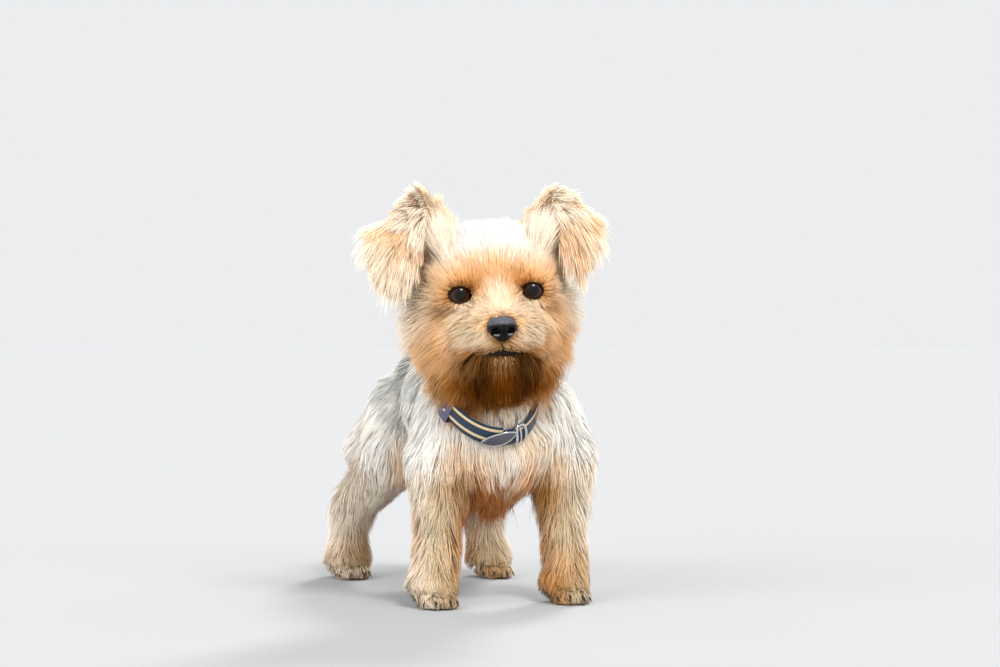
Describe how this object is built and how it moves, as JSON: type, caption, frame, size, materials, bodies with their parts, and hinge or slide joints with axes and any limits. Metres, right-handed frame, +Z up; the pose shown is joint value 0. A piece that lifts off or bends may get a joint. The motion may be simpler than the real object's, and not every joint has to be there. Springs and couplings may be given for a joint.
{
  "type": "yorkshire terrier",
  "caption": "Standing small terrier in a short trim, head turned a little to its right, folded ears, hanging tail and a webbing collar; a still display model.",
  "frame": {"origin": "on the floor, under the middle of the whole model's bounding box", "axes": "+X to the dog's left, -Y the way it faces, +Z up; the soles lie on Z = 0"},
  "size_m": [0.1886, 0.3242, 0.3022],
  "materials": {
    "coat_silver": "silky steel-grey hair, paler at the tips",
    "coat_cream": "silky cream-white hair",
    "coat_tan": "silky golden-tan hair",
    "coat_dark_tan": "dark orange-brown beard hair",
    "nose_leather": "black, damp and pebbled",
    "lips": "black, smooth",
    "eye": "dark brown, wet and clear",
    "webbing": "navy woven webbing with a cream stripe near each edge",
    "slider": "grey-violet moulded keeper",
    "buckle_metal": "dark polished metal",
    "ring_metal": "bright nickel"
  },
  "bodies": {
    "root": {"head": "coat_tan", "lower_jaw": "coat_dark_tan", "lip_upper": "lips", "lip_lower": "lips", "nose": "nose_leather", "eye_left": "eye", "eye_right": "eye", "ear_left": "coat_tan", "ear_right": "coat_tan", "neck": "coat_cream", "chest": "coat_cream", "trunk": "coat_silver", "rump": "coat_silver", "tail": "coat_silver", "upper_arm_left": "coat_cream", "upper_arm_right": "coat_cream", "foreleg_left": "coat_tan", "foreleg_right": "coat_tan", "forepaw_left": "coat_tan", "forepaw_right": "coat_tan", "thigh_left": "coat_silver", "thigh_right": "coat_silver", "shank_left": "coat_tan", "shank_right": "coat_tan", "hindpaw_left": "coat_tan", "hindpaw_right": "coat_tan", "collar_strap": "webbing", "collar_strap_end": "webbing", "collar_slider": "slider", "collar_buckle": "buckle_metal", "collar_ring": "ring_metal"}
  },
  "joints": []
}
